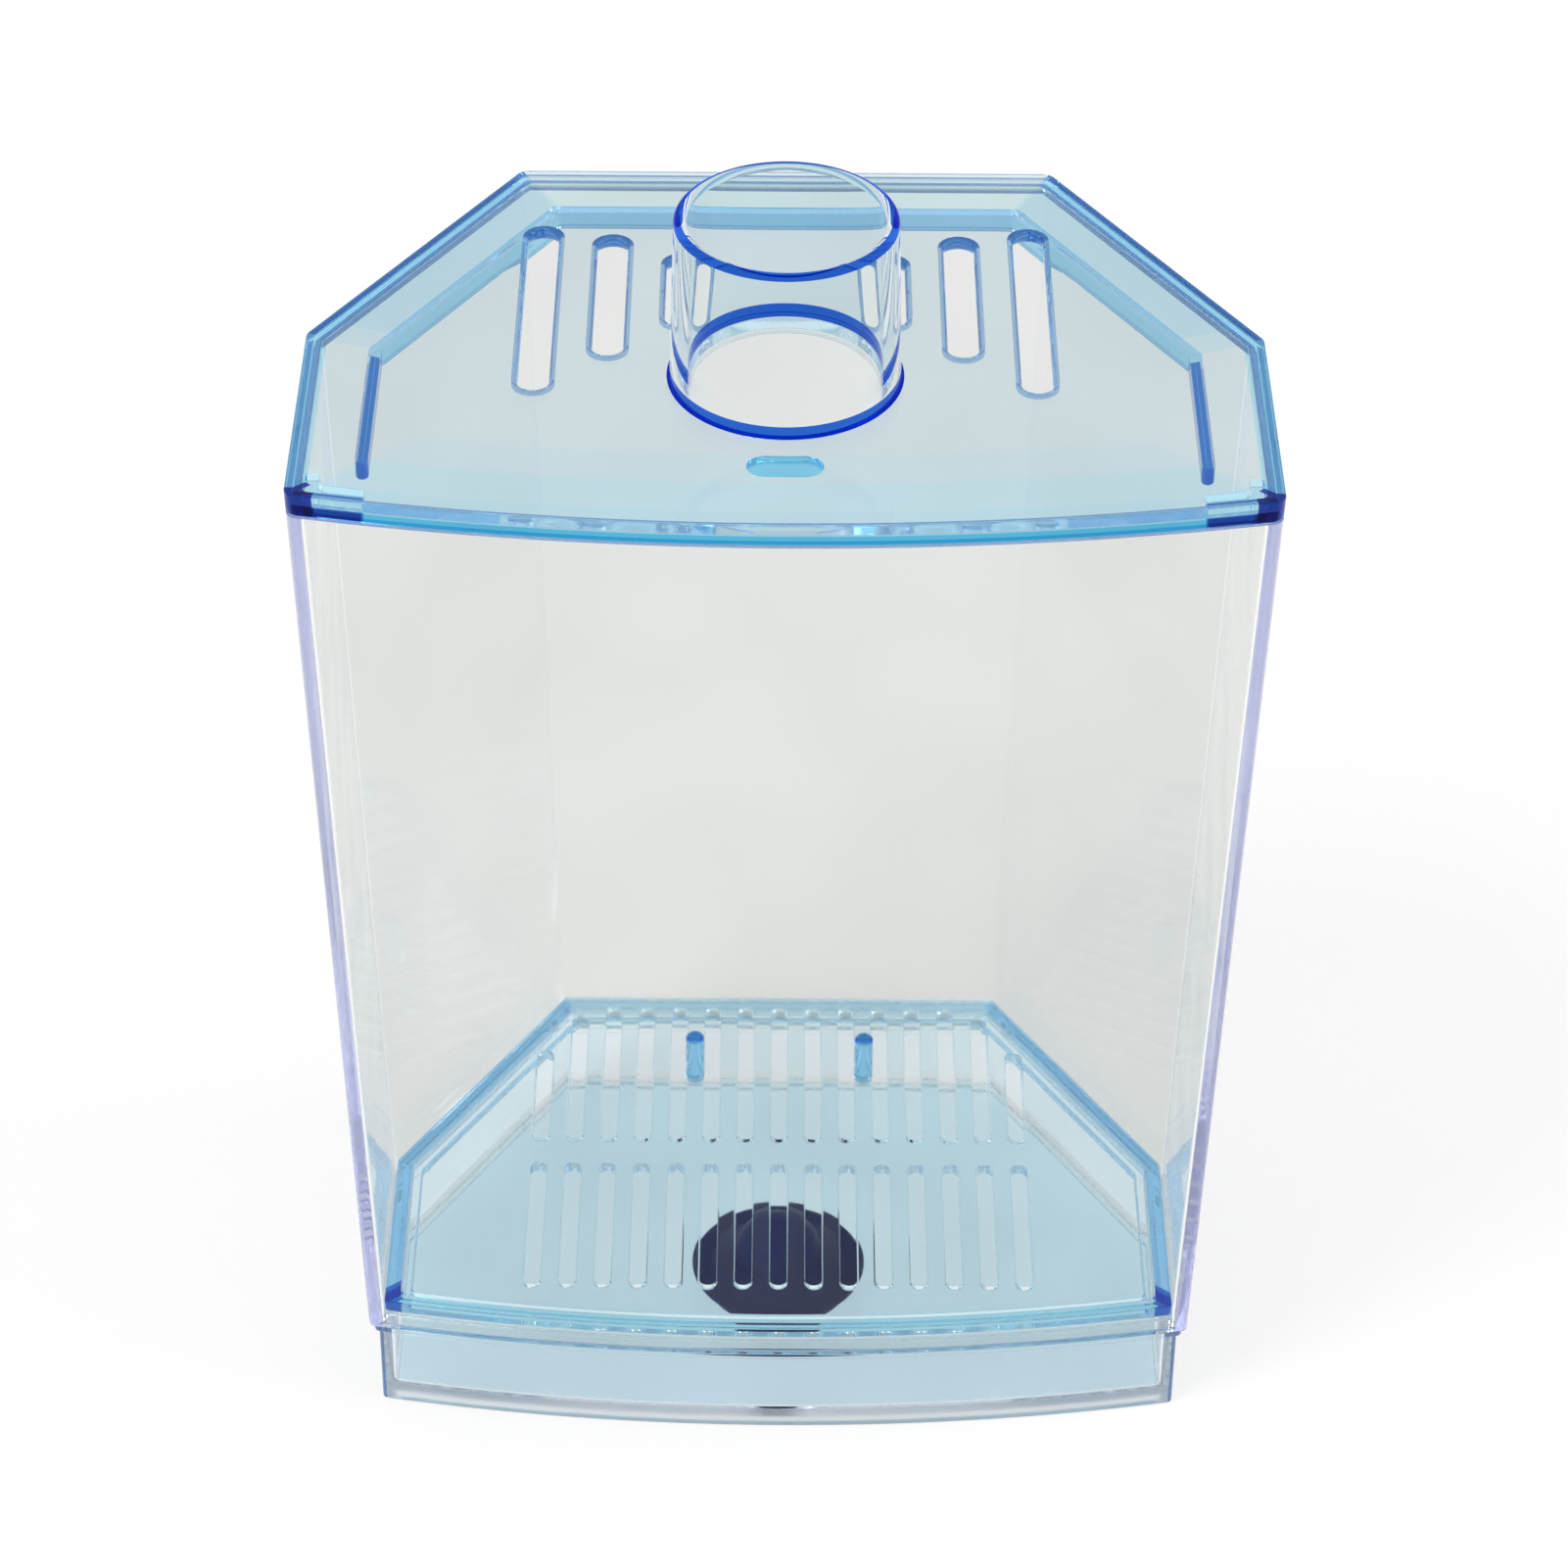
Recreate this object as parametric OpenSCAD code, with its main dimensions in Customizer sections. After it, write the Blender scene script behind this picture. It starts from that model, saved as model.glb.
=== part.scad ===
// Fish breeding box: clear bevelled tank on a shallow base, slotted false bottom,
// vented lift-off lid with a feeding collar, and a rubber drain plug.
// Units are millimetres, +Z is up, the bowed front faces -Y.

/* [Overall] */
// Width over the two front corners, at the lid
body_w = 150; // [120:1:190]
// Depth from the front corners to the rear wall, at the lid
body_d = 95.5; // [80:0.5:120]
// How far the front wall bows out beyond its corners
bow = 7.4; // [3:0.1:14]
// Width of the flat rear wall, at the lid
rear_w = 87; // [60:1:110]
// Length of the straight side walls, front to back
side_d = 45; // [30:0.5:60]
// Height of the lid's top face above the table
total_h = 193; // [150:1:240]

/* [Tank wall] */
// Thickness of the tank wall
wall_t = 2.4; // [1.8:0.1:3.6]
// How far the wall leans in on each side from lid to lower edge
taper = 4.9; // [0:0.1:8]
// Height of the tank wall's lower edge above the table
skirt_z = 18.2; // [12:0.1:26]
// Width of the flat that eases each upright corner
ease_w = 1.6; // [0.8:0.1:3]
// Thickness of the thinned rim that the lid laps over
rim_t = 1.0; // [0.8:0.1:1.4]

/* [Base tray] */
// Step in from the tank's lower edge to the base's outer wall
base_step = 1.5; // [1:0.1:3]
// Step in from the tank's lower edge to the rim that stands inside the tank
rim_step = 3.0; // [2.6:0.1:5]
// Thickness of the base wall and its rim
base_wall = 2.2; // [1.8:0.1:3.2]
// Height of the rim, where the slotted plate rests
base_h = 20.8; // [17:0.1:30]
// Thickness of the base floor
floor_t = 2; // [1.4:0.1:3]
// Height of the foot ring below the floor
foot_h = 1; // [0.6:0.1:3]
// Height of the bead that carries the tank wall
bead_h = 1.6; // [1:0.1:3]

/* [Slotted plate] */
// Thickness of the plate
plate_t = 2.2; // [1.6:0.1:3.2]
// Gap between the plate's edge and the tank wall
plate_gap = 0.45; // [0.3:0.05:1]
// Slots in each row
slot_n = 15; // [9:2:17]
// Distance from one slot to the next
slot_pitch = 6.05; // [5:0.05:8]
// Width of each slot
slot_w = 2.9; // [1.5:0.1:3.5]
// Length of the rear row of slots
rear_slot = 36; // [20:0.5:40]
// Length of the front row of slots
front_slot = 31; // [20:0.5:34]
// Solid strip left between the rows
slot_bridge = 6.6; // [4:0.1:12]
// Depth of the locating lip under the plate
lip_h = 2; // [1:0.1:4]

/* [Lift pegs] */
// Thickness of each peg
peg_d = 3.3; // [2.4:0.1:5]
// Height of each peg above the plate
peg_h = 10; // [6:0.5:16]
// Thickness of the stem pressed into the plate
peg_stem = 1.6; // [1.2:0.1:2.4]

/* [Lid] */
// Thickness of the lid's panel
lid_t = 2.2; // [1.6:0.1:3.2]
// Height of the lap edge below the panel
lap_h = 1.6; // [1:0.1:4]
// Thickness of the lap edge
lap_t = 1.1; // [0.8:0.1:1.6]
// Width of each vent
vent_w = 4.8; // [4.2:0.1:6]
// Lengths of the vents, from the outer pair inward
vent_l = [47, 34.5, 20];
// Sideways places of the vents, from the outer pair inward
vent_x = [39, 27.8, 16.6];
// Middle of each vent, back from the middle of the lid
vent_y = [9.2, 13, 14.6];
// How far in from the edge the U-shaped rib runs
rib_in = 10; // [6:0.5:14]
// Thickness of the U-shaped rib
rib_t = 1.8; // [1.2:0.1:3]
// Depth of the U-shaped rib and the corner lugs
rib_h = 3.2; // [1.5:0.1:6]
// Place of the U-shaped rib's front ends, back from the front corners
rib_back = 11; // [8:0.5:20]
// Length of each corner lug along the front
lug_l = 12; // [6:0.5:20]
// Length of the thumb dimple
dimple_l = 11.8; // [8:0.2:20]
// Width of the thumb dimple
dimple_w = 5.6; // [3:0.2:9]
// Depth of the thumb dimple
dimple_t = 0.8; // [0.4:0.1:1.2]

/* [Feeding collar] */
// Radius of the collar's bore
collar_bore = 15.2; // [11:0.1:17]
// Outer radius of the collar where it meets the lid
collar_foot = 17.9; // [14:0.1:20]
// Outer radius of the collar at its top
collar_top = 17.2; // [13:0.1:19]
// Height of the collar above the lid
collar_h = 28.3; // [12:0.1:40]
// Place of the collar, forward of the middle of the lid
collar_fwd = 10.2; // [4:0.1:14]
// Radius of the cove where the collar meets the lid
collar_cove = 0.5; // [0.3:0.1:1.5]

/* [Drain plug] */
// Radius of the drain hole in the floor
drain_r = 7; // [4:0.1:9]
// Radius of the plug's dome
dome_r = 7.8; // [7.4:0.1:9]
// Height of the plug's neck below the dome
neck_h = 4.8; // [2:0.1:5]
// Radius of the brim round the plug's neck
brim_r = 15.2; // [10:0.1:15.5]
// Height of the brim's underside above the washer
brim_up = 1.6; // [1:0.1:2.4]
// Thickness of the brim at its edge
brim_t = 1.0; // [0.8:0.1:1.2]
// Radius where the brim's flare starts
flare_r = 12; // [9:0.1:14]
// Radius of the washer under the plug
washer_r = 12.8; // [11:0.1:15]
// Thickness of the washer
washer_t = 2; // [1:0.1:3]
// Place of the drain, forward of the middle
drain_fwd = 11; // [0:0.5:20]

/* [Hidden] */
$fn = 96;
eps = 0.01;
far = 400;
y_front = -(body_d - bow) / 2;
y_rear = y_front + body_d;
y_side = y_front + side_d;
lean = atan(taper / (total_h - skirt_z));
// front bow: a cone whose chord is the width over the front corners
bow_r = (body_w * body_w / 4 + bow * bow) / (2 * bow);
bow_y = y_front - bow + bow_r;
// bevel walls: direction they face, and their distance from the middle
bev_a = atan2(body_w / 2 - rear_w / 2, y_rear - y_side);
bev_d = body_w / 2 * cos(bev_a) + y_side * sin(bev_a);
// how far the wall turns at each upright corner
turn_f = 90 - asin(body_w / 2 / bow_r);
turn_s = bev_a;
turn_r = 90 - bev_a;
// flats that ease the corners: direction and distance
ease_fd = body_w / 2 * cos(turn_f / 2) - y_front * sin(turn_f / 2) - ease_w / 2 * tan(turn_f / 2);
ease_sd = body_w / 2 * cos(turn_s / 2) + y_side * sin(turn_s / 2) - ease_w / 2 * tan(turn_s / 2);
ease_ra = bev_a + turn_r / 2;
ease_rd = rear_w / 2 * cos(ease_ra) + y_rear * sin(ease_ra) - ease_w / 2 * tan(turn_r / 2);
// levels
floor_z = foot_h + floor_t;
plate_z = base_h + plate_t;
rim_z = total_h - lid_t;
lap_z = rim_z - lap_h;
lap_gap = 0.3;
rebate_z = lap_z - lap_gap;
// insets from the outline at the lid
bead_edge = 0.8;
rebate_in = wall_t - rim_t;
base_in = taper + base_step;
sump_in = base_in + base_wall;
tongue_in = taper + rim_step;
ledge_in = tongue_in + base_wall;
ledge_z = skirt_z - base_wall;
bead_in = taper + bead_edge;
plate_in = taper + wall_t + plate_gap;
lip_gap = 0.3;
lip_in = ledge_in + lip_gap;
lip_t = 1.6;
lug_gap = 0.4;
lug_in = wall_t + lug_gap;
lug_t = 2.2;
lug_side = 5;
rib_y = y_front + rib_back;
rib_root = 0.5;
dimple_y = y_front + 8.4;
// slots: the rows sit either side of a solid strip
row_y = y_side + 0.5;
peg_x = slot_pitch * 2.5;
peg_back = 16.5;
peg_y = row_y + slot_bridge / 2 + peg_back;
// seam, collar and plug
seal_drop = 0.4;
spigot_t = 1.8;
spigot_r = collar_bore + spigot_t;
lip_r = (collar_top - collar_bore) / 2;
cove_root = 0.5;
washer_z = floor_z + washer_t;
dome_z = washer_z + neck_h;
brim_z = washer_z + brim_up;
stem_gap = 0.08;
stem_up = 0.4;

// everything behind one flat wall that faces direction a, d out from the middle at the lid
module behind(a, d, tilt) {
  rotate([0, 0, a])
    translate([d, 0, total_h])
      rotate([0, tilt, 0])
        translate([-far, -far / 2, -far / 2])
          cube([far, far, far]);
}

// a corner flat leans and moves in further than its walls, so its width stays the same
module eased(a, d, inset, turn, tilt) {
  k = 1 / cos(turn / 2);
  behind(a, d - inset * k, atan(tan(tilt) * k));
}

// the bevelled, bow-fronted outline as a solid from z0 to z1, moved in by inset
module shell_form(inset, z0, z1, tilt) {
  low_r = bow_r - inset - (total_h - z0) * tan(tilt);
  high_r = bow_r - inset - (total_h - z1) * tan(tilt);
  intersection() {
    translate([0, bow_y, z0])
      cylinder(h = z1 - z0, r1 = low_r, r2 = high_r, $fn = 360);
    behind(0, body_w / 2 - inset, tilt);
    behind(180, body_w / 2 - inset, tilt);
    behind(90, y_rear - inset, tilt);
    behind(bev_a, bev_d - inset, tilt);
    behind(180 - bev_a, bev_d - inset, tilt);
    eased(-turn_f / 2, ease_fd, inset, turn_f, tilt);
    eased(180 + turn_f / 2, ease_fd, inset, turn_f, tilt);
    eased(turn_s / 2, ease_sd, inset, turn_s, tilt);
    eased(180 - turn_s / 2, ease_sd, inset, turn_s, tilt);
    eased(ease_ra, ease_rd, inset, turn_r, tilt);
    eased(180 - ease_ra, ease_rd, inset, turn_r, tilt);
  }
}

// flat stadium, long way along Y
module slot_shape(w, l) {
  square([w, l - w], center = true);
  translate([0, (l - w) / 2])
    circle(d = w, $fn = 32);
  translate([0, (w - l) / 2])
    circle(d = w, $fn = 32);
}

// clear wall, open at both ends, its rim thinned from outside for the lid's lap
module tank_body() {
  color([0.87, 0.88, 0.87, 0.35])
    difference() {
      union() {
        shell_form(0, skirt_z, rebate_z, lean);
        shell_form(rebate_in, rebate_z - 1, rim_z, lean);
      }
      shell_form(wall_t, skirt_z - 1, rim_z + 1, lean);
    }
}

// tray with a floor, a foot ring, a bead under the tank wall, a rim inside it and a drain hole
module sump_base() {
  color([0.76, 0.85, 0.88, 0.45])
    difference() {
      union() {
        shell_form(base_in, 0, skirt_z, 0);
        shell_form(bead_in, skirt_z - bead_h, skirt_z, 0);
        shell_form(tongue_in, skirt_z - eps, base_h, 0);
      }
      shell_form(sump_in, floor_z, ledge_z, 0);
      shell_form(ledge_in, ledge_z - eps, base_h + 1, 0);
      shell_form(sump_in, -1, foot_h, 0);
      translate([0, -drain_fwd, -1])
        cylinder(h = floor_z + 2, r = drain_r);
    }
}

// seam between the base's rim and the inside of the tank wall
module joint_seal() {
  color([0.9, 0.93, 0.95, 0.6])
    difference() {
      shell_form(wall_t, skirt_z, base_h - seal_drop, lean);
      shell_form(tongue_in, skirt_z - 1, base_h + 1, 0);
    }
}

// rear end of a slot: the plate's border cuts the outer ones short
function rear_end(x) = min(row_y + slot_bridge / 2 + rear_slot,
  (bev_d - lip_in - lip_t - (abs(x) + slot_w / 2) * cos(bev_a)) / sin(bev_a));

module plate_slots() {
  for (i = [0 : slot_n - 1]) {
    x = (i - (slot_n - 1) / 2) * slot_pitch;
    y0 = row_y + slot_bridge / 2;
    translate([x, (y0 + rear_end(x)) / 2])
      slot_shape(slot_w, rear_end(x) - y0);
    translate([x, row_y - slot_bridge / 2 - front_slot / 2])
      slot_shape(slot_w, front_slot);
  }
}

// false bottom: rests on the base's rim, its lip drops inside it
module slotted_plate() {
  color([0.70, 0.82, 0.88, 0.5])
    difference() {
      union() {
        shell_form(plate_in, base_h, plate_z, 0);
        shell_form(lip_in, base_h - lip_h, base_h + eps, 0);
      }
      shell_form(lip_in + lip_t, base_h - lip_h - 1, base_h, 0);
      translate([0, 0, base_h - 1])
        linear_extrude(height = plate_t + 2)
          plate_slots();
      for (s = [-1, 1])
        translate([s * peg_x, peg_y, base_h - 1])
          cylinder(h = plate_t + 2, d = peg_stem, $fn = 32);
    }
}

// short blue peg with an eased head and a thin stem down through the plate's rib
module lift_peg() {
  ease = peg_d * 0.3;
  translate([0, 0, base_h])
    cylinder(h = plate_t + eps, d = peg_stem, $fn = 32);
  translate([0, 0, plate_z])
    rotate_extrude($fn = 32) {
      square([peg_d / 2 - ease, peg_h]);
      square([peg_d / 2, peg_h - ease]);
      translate([peg_d / 2 - ease, peg_h - ease])
        intersection() {
          circle(r = ease);
          square(ease);
        }
    }
}

module lift_peg_left() {
  color([0.30, 0.58, 0.85])
    translate([-peg_x, peg_y, 0])
      lift_peg();
}

module lift_peg_right() {
  color([0.30, 0.58, 0.85])
    translate([peg_x, peg_y, 0])
      lift_peg();
}

// rib below the panel, round the sides and rear, with rounded front ends
module lid_rib() {
  rib_x = body_w / 2 - rib_in - rib_t / 2;
  difference() {
    shell_form(rib_in, rim_z - rib_h, rim_z + rib_root, 0);
    shell_form(rib_in + rib_t, rim_z - rib_h - 1, rim_z + 1, 0);
    translate([-far / 2, rib_y - far, rim_z - far / 2])
      cube([far, far, far]);
  }
  for (s = [-1, 1])
    translate([s * rib_x, rib_y, rim_z - rib_h])
      cylinder(h = rib_h + rib_root, d = rib_t, $fn = 32);
}

// lugs in the two front corners, inside the tank wall
module lid_lugs() {
  difference() {
    shell_form(lug_in, rim_z - rib_h, rim_z + rib_root, 0);
    shell_form(lug_in + lug_t, rim_z - rib_h - 1, rim_z + 1, 0);
    translate([lug_l - body_w / 2, -far / 2, rim_z - far / 2])
      cube([body_w - 2 * lug_l, far, far]);
    translate([-far / 2, y_front + lug_t + lug_side, rim_z - far / 2])
      cube([far, far, far]);
  }
}

module lid() {
  color([0.66, 0.80, 0.88, 0.5])
    difference() {
      union() {
        difference() {
          shell_form(0, lap_z, total_h, lean);
          shell_form(lap_t, lap_z - 1, rim_z, lean);
        }
        lid_rib();
        lid_lugs();
      }
      for (s = [-1, 1], i = [0 : 2])
        translate([s * vent_x[i], vent_y[i], rim_z - 1])
          linear_extrude(height = lid_t + 2)
            slot_shape(vent_w, vent_l[i]);
      translate([0, -collar_fwd, rim_z - 1])
        cylinder(h = lid_t + 2, r = spigot_r);
      translate([0, dimple_y, total_h - dimple_t])
        rotate([0, 0, 90])
          linear_extrude(height = dimple_t + 1)
            slot_shape(dimple_w, dimple_l);
    }
}

// section of the chimney's wall above the lid, with a full round lip and a cove at its foot
module collar_section() {
  polygon([
    [collar_bore, 0],
    [collar_foot, 0],
    [collar_foot, collar_cove],
    [collar_top, collar_h - lip_r],
    [collar_bore, collar_h - lip_r]
  ]);
  translate([collar_bore + lip_r, collar_h - lip_r])
    intersection() {
      circle(r = lip_r);
      translate([-lip_r, 0])
        square([2 * lip_r, lip_r]);
    }
  difference() {
    translate([collar_foot - cove_root, 0])
      square([collar_cove + cove_root, collar_cove]);
    translate([collar_foot + collar_cove, collar_cove])
      circle(r = collar_cove);
  }
}

// raised chimney, its spigot pressed into the lid's hole
module feeding_collar() {
  color([0.55, 0.74, 0.90, 0.55])
    translate([0, -collar_fwd, 0]) {
      translate([0, 0, total_h])
        rotate_extrude()
          collar_section();
      difference() {
        translate([0, 0, rim_z])
          cylinder(h = lid_t + eps, r = spigot_r);
        translate([0, 0, rim_z - 1])
          cylinder(h = lid_t + 2, r = collar_bore);
      }
    }
}

// rubber plug: a dome on a brimmed neck to grip, over a stem that fills the drain hole
module drain_plug() {
  color([0.12, 0.18, 0.32])
    translate([0, -drain_fwd, 0]) {
      translate([0, 0, stem_up])
        cylinder(h = washer_z - stem_up + eps, r = drain_r - stem_gap);
      translate([0, 0, washer_z])
        cylinder(h = neck_h, r = dome_r);
      translate([0, 0, brim_z])
        cylinder(h = brim_t, r = brim_r);
      translate([0, 0, brim_z + brim_t - eps])
        cylinder(h = dome_z - brim_z - brim_t, r1 = flare_r, r2 = dome_r);
      intersection() {
        translate([0, 0, dome_z])
          sphere(r = dome_r, $fn = 64);
        translate([-far / 2, -far / 2, dome_z - eps])
          cube([far, far, far]);
      }
    }
}

// flat rubber washer between the dome and the floor
module plug_washer() {
  color([0.10, 0.15, 0.28])
    translate([0, -drain_fwd, floor_z])
      difference() {
        cylinder(h = washer_t, r = washer_r);
        translate([0, 0, -1])
          cylinder(h = washer_t + 2, r = drain_r - stem_gap);
      }
}

tank_body();
sump_base();
joint_seal();
slotted_plate();
lift_peg_left();
lift_peg_right();
lid();
feeding_collar();
drain_plug();
plug_washer();
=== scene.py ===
import math

import bpy
import numpy as np
from mathutils import Matrix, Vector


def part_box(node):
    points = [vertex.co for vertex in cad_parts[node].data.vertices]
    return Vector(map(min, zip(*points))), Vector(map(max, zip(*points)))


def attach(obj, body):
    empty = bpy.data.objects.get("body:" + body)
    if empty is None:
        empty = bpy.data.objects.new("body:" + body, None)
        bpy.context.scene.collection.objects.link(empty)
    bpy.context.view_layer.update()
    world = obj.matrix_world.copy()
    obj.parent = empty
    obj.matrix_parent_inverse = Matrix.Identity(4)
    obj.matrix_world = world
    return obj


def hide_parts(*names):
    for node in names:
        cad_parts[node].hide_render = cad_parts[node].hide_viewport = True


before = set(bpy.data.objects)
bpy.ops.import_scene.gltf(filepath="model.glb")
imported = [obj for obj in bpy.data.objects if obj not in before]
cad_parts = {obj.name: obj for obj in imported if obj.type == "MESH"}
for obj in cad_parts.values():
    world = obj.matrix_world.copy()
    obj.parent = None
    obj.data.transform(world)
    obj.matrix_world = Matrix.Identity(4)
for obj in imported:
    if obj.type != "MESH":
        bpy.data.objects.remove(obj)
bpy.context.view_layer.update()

mm = 0.001
air = 0.06  # gap left between neighbours, so that light leaves one before it enters the next
tip = 0.02  # what is left of a width where a shape closes on itself
touch = 0.05  # how near to a surface a place counts as on it
near = 0.2  # how far past an edge a place still belongs to it
# how level a face is: upright tint up to the first, edge tint between the next two, flat tint from the last
tintLevels = (0.1, 0.3, 0.8, 0.97)
flatLevel = 0.995  # from here on a face lies flat
sharpAngle = 38  # degrees between two faces that keep a true edge
noiseSpan = (0.3, 0.7)  # most of a noise lies between these


def nodeBox(node):  # lowest and highest corner of a CAD node, in millimetres
    low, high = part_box(node)
    return np.array(low) / mm, np.array(high) / mm


tankBox = nodeBox("tank_body")
baseBox = nodeBox("sump_base")
lidBox = nodeBox("lid")
plateBox = nodeBox("slotted_plate")
collarBox = nodeBox("feeding_collar")
plugBox = nodeBox("drain_plug")
washerBox = nodeBox("plug_washer")
sealBox = nodeBox("joint_seal")

# plan of the box at the lid's top, in millimetres; what the CAD boxes tell is read from them
plan = {
    "halfWidth": lidBox[1][0],
    "rear": lidBox[1][1],
    "front": lidBox[0][1],
    "bow": 7.4,
    "halfRear": 43.5,
    "sideDepth": 45.0,
    "lean": 4.9 / 174.8,  # each wall's lean, sideways over height
    "cornerRadius": 2.4,
    "innerRadius": 0.9,
    "bowSteps": 30,
    "cornerSteps": 8,
    "lineSteps": 14,
}
plan["cornerY"] = plan["front"] + plan["bow"]
plan["sideY"] = plan["cornerY"] + plan["sideDepth"]
plan["bowRadius"] = (plan["halfWidth"] ** 2 + plan["bow"] ** 2) / (2 * plan["bow"])
plan["bowY"] = plan["front"] + plan["bowRadius"]
plan["bevel"] = math.atan2(plan["halfWidth"] - plan["halfRear"], plan["rear"] - plan["sideY"])
plan["bevelFar"] = plan["halfWidth"] * math.cos(plan["bevel"]) + plan["sideY"] * math.sin(plan["bevel"])


def arcPoints(cx, cy, radius, start, stop, steps):
    # points at equal angles from start up to, but not on, stop; one row for each centre
    t = np.arange(steps) / steps
    angle = start[:, None] + (stop - start)[:, None] * t
    return cx[:, None] + radius[:, None] * np.cos(angle), cy[:, None] + radius[:, None] * np.sin(angle)


def linePoints(x0, y0, x1, y1, steps):
    # points at equal steps from the first end up to, but not on, the second
    t = np.arange(steps) / steps
    return x0[:, None] + (x1 - x0)[:, None] * t, y0[:, None] + (y1 - y0)[:, None] * t


def halfPlan(inset):
    # right half of the plan moved in by inset: bow arc, front corner, side, bevel and rear wall, each joined
    # to the next by a corner arc that touches both; rows are insets, and the last point is the rear middle
    inset = np.atleast_1d(np.asarray(inset, float))
    radius = np.maximum(plan["cornerRadius"] - inset, plan["innerRadius"])
    zero = np.zeros_like(inset)
    quarter = zero + math.pi / 2
    bevel = plan["bevel"]
    cos, sin = math.cos(bevel), math.sin(bevel)
    bow = plan["bowRadius"] - inset
    sideX = plan["halfWidth"] - inset - radius
    frontY = plan["bowY"] - np.sqrt((bow - radius) ** 2 - sideX ** 2)
    frontAngle = np.arctan2(frontY - plan["bowY"], sideX)
    sideY = (plan["bevelFar"] - inset - radius - cos * sideX) / sin
    rearY = plan["rear"] - inset - radius
    rearX = (plan["bevelFar"] - inset - radius - sin * rearY) / cos
    bowSteps, cornerSteps, lineSteps = plan["bowSteps"], plan["cornerSteps"], plan["lineSteps"]
    runs = [
        arcPoints(zero, zero + plan["bowY"], bow, -quarter, frontAngle, bowSteps),
        arcPoints(sideX, frontY, radius, frontAngle, zero, cornerSteps),
        linePoints(sideX + radius, frontY, sideX + radius, sideY, lineSteps),
        arcPoints(sideX, sideY, radius, zero, zero + bevel, cornerSteps),
        linePoints(sideX + radius * cos, sideY + radius * sin,
                   rearX + radius * cos, rearY + radius * sin, lineSteps),
        arcPoints(rearX, rearY, radius, zero + bevel, quarter, cornerSteps),
        linePoints(rearX, rearY + radius, zero, rearY + radius, lineSteps),
        (zero[:, None], (rearY + radius)[:, None]),
    ]
    return np.stack([np.concatenate([run[k] for run in runs], axis=1) for k in (0, 1)], axis=2)


def planLoop(inset):
    # the whole plan: the right half, then its mirror image back to the front middle
    right = halfPlan(inset)
    left = right[:, -2:0:-1] * np.array([-1.0, 1.0])
    return np.concatenate([right, left], axis=1)


def roundedLine(corners, steps=5):
    # a bent line through (distance, height, radius) corners, with an arc of that radius at each
    corners = np.asarray(corners, float)
    points, radii = corners[:, :2], corners[:, 2]
    out = [points[0]]
    for k in range(1, len(points) - 1):
        radius = radii[k]
        if radius <= 0:
            out.append(points[k])
            continue
        before, after = points[k - 1] - points[k], points[k + 1] - points[k]
        before, after = before / np.linalg.norm(before), after / np.linalg.norm(after)
        half = math.acos(np.clip(before @ after, -1, 1)) / 2
        centre = points[k] + (before + after) / np.linalg.norm(before + after) * radius / math.sin(half)
        reach = radius / math.tan(half)
        start, stop = points[k] + before * reach - centre, points[k] + after * reach - centre
        first = math.atan2(start[1], start[0])
        turn = (math.atan2(stop[1], stop[0]) - first + math.pi) % (2 * math.pi) - math.pi
        angle = first + turn * np.linspace(0, 1, steps + 1)
        out.extend(centre + radius * np.stack([np.cos(angle), np.sin(angle)], axis=1))
    out.append(points[-1])
    return np.array(out)


def planRings(line, lean=0.0):
    # each (inset, height) of the line becomes the plan at that height; a leaning wall moves in further below
    inset, z = line[:, 0], line[:, 1]
    xy = planLoop(inset + (lidBox[1][2] - z) * lean)
    return np.concatenate([xy, np.broadcast_to(z[:, None, None], xy.shape[:2] + (1,))], axis=2)


def roundRings(line, centre, like=None, sides=None):
    # each (radius, height) of the line becomes a circle; its points face those of the plan when one is given
    if like is None:
        angle = np.linspace(0, 2 * math.pi, sides, endpoint=False)
    else:
        away = like[:, :2] - centre
        angle = np.arctan2(away[:, 1], away[:, 0])
    x = centre[0] + line[:, 0:1] * np.cos(angle)
    y = centre[1] + line[:, 0:1] * np.sin(angle)
    return np.stack([x, y, np.broadcast_to(line[:, 1:2], x.shape)], axis=2)


def gridFaces(rows, cols, wrapRows):
    # quads between neighbouring rings; columns always wrap round, rows do for a closed section
    row = np.arange(rows if wrapRows else rows - 1)[:, None]
    col = np.arange(cols)[None, :]
    here, above = row * cols, (row + 1) % rows * cols
    beside = (col + 1) % cols
    return np.stack([here + col, here + beside, above + beside, above + col], axis=2).reshape(-1, 4)


def signedVolume(verts, quads):
    # sum of the tetrahedra from the origin to each quad's two triangles
    a, b, c, d = (verts[quads[:, k]] for k in range(4))
    return (np.einsum("ij,ij->i", a, np.cross(b, c)) + np.einsum("ij,ij->i", a, np.cross(c, d))).sum() / 6


def ringMesh(name, rings, closed=True):
    # rings stacked into a solid; an open stack gets a flat cap at each end, and faces point outwards
    rows, cols = rings.shape[:2]
    verts = rings.reshape(-1, 3) * mm
    quads = gridFaces(rows, cols, closed)
    flip = signedVolume(verts - verts.mean(axis=0), quads) < 0
    faces = (quads[:, ::-1] if flip else quads).tolist()
    if not closed:
        first = np.arange(cols)
        last = first + (rows - 1) * cols
        faces.append((first if flip else first[::-1]).tolist())
        faces.append((last[::-1] if flip else last).tolist())
    mesh = bpy.data.meshes.new(name)
    mesh.from_pydata(verts.tolist(), [], faces)
    mesh.validate()
    obj = bpy.data.objects.new(name, mesh)
    bpy.context.scene.collection.objects.link(obj)
    return obj


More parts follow.
